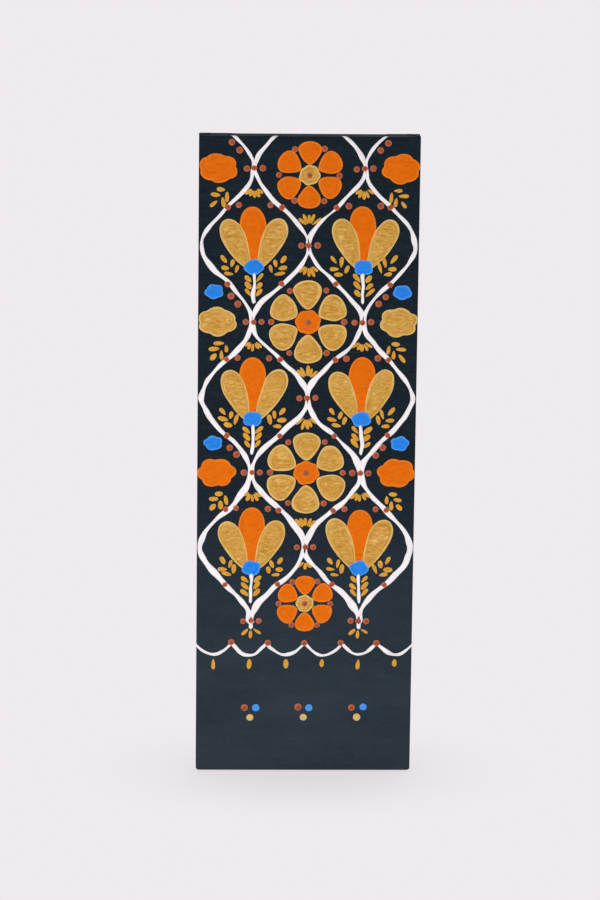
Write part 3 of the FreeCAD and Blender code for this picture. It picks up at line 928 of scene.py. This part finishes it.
def mix_paints():
    """Ochre, orange, blue, white, gold and brick, each with the height of its strokes in millimetres.

    The three colours of a paint are its own, the pale one where it is thin or has run up, and the dark one.
    """
    paints = [
        ("ochre_petals", 0.26, pigment(
            "ochre_acrylic", (195, 150, 58), (227, 196, 123), (172, 122, 38), 1.6 * MM,
            streaks=0.9, rimmed=0.75, filling=0.75, stirred=(207, 145, 74))),
        ("orange_petals", 0.2, pigment(
            "orange_acrylic", (221, 105, 4), (236, 133, 40), (206, 89, 2), 1.7 * MM,
            streaks=0.3, gloss=0.05, filling=0.6)),
        ("blue_patches", 0.32, pigment(
            "blue_acrylic", (36, 127, 222), (92, 164, 240), (28, 113, 207), 1.7 * MM,
            streaks=0.3, gloss=0.06, filling=0.6)),
        ("white_vines", 0.5, pigment(
            "white_acrylic", (241, 236, 238), (247, 244, 246), (226, 220, 220), 1.4 * MM, rimmed=0.3)),
        ("gold_leaves", 0.45, pigment(
            "gold_acrylic", (212, 150, 40), (224, 182, 96), (194, 130, 30), 1.5 * MM, rimmed=0.75)),
        # The brick drops' pale rim runs round each whole drop and is partly a painted highlight on their
        # domes.
        ("brick_drops", 0.85, pigment(
            "brick_acrylic", (154, 62, 25), (188, 112, 77), (140, 52, 18), 1.5 * MM,
            gloss=0.2, roughness=0.24, rimmed=0.8)),
    ]
    return [Paint(name, material, relief, seed) for seed, (name, relief, material) in enumerate(paints, 1)]


def paint_ornament():
    """The whole ornament, from the rosettes outwards. The vines go over the leaves' ends."""
    colours = mix_paints()
    ochre, orange, blue, white, gold, brick = colours
    paint_rosette(orange, ochre, brick, *FOOT_ROSETTE)
    add_fan(gold, 0, 204, -UP, 3, 1.5, 2.0, 6.5)
    for row in (2, 4):
        paint_rosette(ochre, orange, brick, row_height(row), ROSETTE_SIZE)
        for side in (1, -1):
            add_fan(gold, 0, row_height(row) + side * 54, -side * UP, 5, 1.7)
    paint_rosette(orange, ochre, brick, *TOP_ROSETTE)
    add_fan(gold, 0, 518, UP, 5, 1.7)
    for u in (-COLUMN, COLUMN):
        for row in (1, 3, 5):
            paint_tulip(colours, u, row_height(row))
    for mirror in (1, -1):
        for row, patch in ((2, orange), (4, ochre), (6, orange)):
            paint_edge_patch(patch, blue, gold, brick, mirror, row_height(row))
    paint_vines(white, brick)
    paint_nodes(white, gold, brick)
    paint_foot(white, ochre, gold, brick, blue)
    return [colour.finish() for colour in colours]


# ---- Wood, keys and staples ----


def finish_frame():
    """Gives the frame's own nodes their finish. Each piece of wood has its grain along its length."""
    woods = {
        "upright_bar": pine("pine_upright", 2),
        "level_bar": pine("pine_level", 0),
        "upright_key": beech("beech_upright", 2),
        "level_key": beech("beech_level", 0),
    }
    wire = staple_wire()
    for name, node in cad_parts.items():
        if name == "canvas":
            continue
        if "staples" in name:
            material = wire
        elif name.endswith("_key"):
            material = woods["upright_key" if "upright" in name else "level_key"]
        else:
            material = woods["upright_bar" if name.startswith(("left", "right")) else "level_bar"]
        for slot in node.material_slots:
            slot.material = material


# ---- Floor, light and camera ----

STUDIO_PALE = (239, 234, 238)
WORLD_LEVEL = 0.57
# The floor lies just under the cloth's folded corners. It shows a share of the object's shadow, near to it.
FLOOR_Z, FLOOR_RADIUS = -1.2 * MM, 9.0
SHADOW_SHARE, SHADOW_REACH = 0.28, (0.03, 0.16)

# Each softbox: its place, what it is aimed at, its width and its power. The low one stands close in front and
# lights the lower half more than the upper one.
SOFTBOXES = {
    "key_softbox": ((-1.7, -2.7, 0.5), (0, 0, 0.1), 0.8, 21),
    "fill_softbox": ((2.2, -2.2, 0.85), (0, 0, 0), 1.6, 9.6),
    "low_softbox": ((-0.15, -0.7, 0.2), (0, 0, 0.12), 0.4, 1.25),
    "rear_softbox": ((0.9, 2.9, 0.9), (0, 0, 0.32), 1.6, 32),
}

# The camera stands back with a long lens and looks a little down. Its turn, tilt and lean are in degrees.
CAMERA_PLACE, CAMERA_LENS, SENSOR = (-0.1276, -3.5902, 1.1731), 160, 36
CAMERA_TURN, CAMERA_TILT, CAMERA_LEAN = 1.945, 13.55, 0.664


def seen_directly(finish):
    """1 where a surface is seen, also in metal or through glass, and 0 where it only gives light."""
    outputs = finish.node("LightPath").socket.node.outputs
    camera, glossy, through = (
        Value(finish, outputs[name]) for name in ("Is Camera Ray", "Is Glossy Ray", "Is Transmission Ray")
    )
    return camera.most(glossy).most(through)


def floor_material():
    """The pale floor. It shows its own colour, apart from a share of the shadow close to the object."""
    pale = paint_colour(*STUDIO_PALE)
    finish = Finish("pale_floor", roughness=0.9, specular_ior_level=0.0, base_color=pale)
    x, y, _ = finish.along()
    away = (x * x * 0.5 + y * y) ** 0.5
    shadow = (1 - away.step(*SHADOW_REACH)) * SHADOW_SHARE
    plain = finish.node("Emission", {}, {"Color": pale, "Strength": 1.0})
    lit = Value(finish, finish.shader.outputs[0])
    mixed = finish.node("MixShader", {}, {0: seen_directly(finish) * (1 - shadow), 1: lit, 2: plain})
    output = next(node for node in finish.tree.nodes if node.type == "OUTPUT_MATERIAL")
    finish.tree.links.new(mixed.socket, output.inputs["Surface"])
    return finish.material


def make_floor():
    """A wide round floor."""
    shape = Shape()
    turns = [2 * math.pi * i / 96 for i in range(96)]
    rim = [shape.add((FLOOR_RADIUS * math.cos(t), FLOOR_RADIUS * math.sin(t), FLOOR_Z)) for t in turns]
    shape.face(rim)
    shape.build("floor", floor_material())


def add_lamp(name, place, aim, size, power):
    """A round softbox."""
    lamp = bpy.data.lights.new(name, "AREA")
    lamp.shape, lamp.size, lamp.energy = "DISK", size, power
    holder = bpy.data.objects.new(name, lamp)
    bpy.context.scene.collection.objects.link(holder)
    holder.location = place
    holder.rotation_euler = (Vector(aim) - Vector(place)).to_track_quat("-Z", "Y").to_euler()


class WorldFinish(Finish):
    """The world's nodes, with the same way of adding them."""

    def __init__(self, world):
        self.tree = world.node_tree


def light_studio():
    """Even light from all sides and four softboxes. The backdrop is seen in the floor's own colour."""
    world = bpy.data.worlds.new("studio")
    bpy.context.scene.world = world
    world.use_nodes = True
    finish = WorldFinish(world)
    light = world.node_tree.nodes["Background"]
    light.inputs["Color"].default_value = (1, 1, 1, 1)
    light.inputs["Strength"].default_value = WORLD_LEVEL
    pale = finish.node("Background", {}, {"Color": paint_colour(*STUDIO_PALE), "Strength": 1.0})
    factor = seen_directly(finish)
    mixed = finish.node("MixShader", {}, {0: factor, 1: Value(finish, light.outputs[0]), 2: pale})
    world.node_tree.links.new(mixed.socket, world.node_tree.nodes["World Output"].inputs["Surface"])
    for name, setting in SOFTBOXES.items():
        add_lamp(name, *setting)


def set_camera():
    """The camera in front of the face."""
    lens = bpy.data.cameras.new("camera")
    lens.lens, lens.sensor_width, lens.sensor_fit = CAMERA_LENS, SENSOR, "AUTO"
    lens.clip_start, lens.clip_end = 0.1, 30
    camera = bpy.data.objects.new("camera", lens)
    bpy.context.scene.collection.objects.link(camera)
    bpy.context.scene.camera = camera
    turn, tilt, lean = (math.radians(angle) for angle in (CAMERA_TURN, CAMERA_TILT, CAMERA_LEAN))
    forward = Vector((math.sin(turn) * math.cos(tilt), math.cos(turn) * math.cos(tilt), -math.sin(tilt)))
    right = Vector((math.cos(turn), -math.sin(turn), 0))
    up = right.cross(forward)
    leaning_right = right * math.cos(lean) + up * math.sin(lean)
    leaning_up = up * math.cos(lean) - right * math.sin(lean)
    turned = Matrix((leaning_right, leaning_up, -forward)).transposed().to_4x4()
    camera.matrix_world = Matrix.Translation(CAMERA_PLACE) @ turned


finish_frame()
make_cloth()
paint_ornament()
make_floor()
light_studio()
set_camera()
bpy.context.scene.view_settings.view_transform = "Standard"
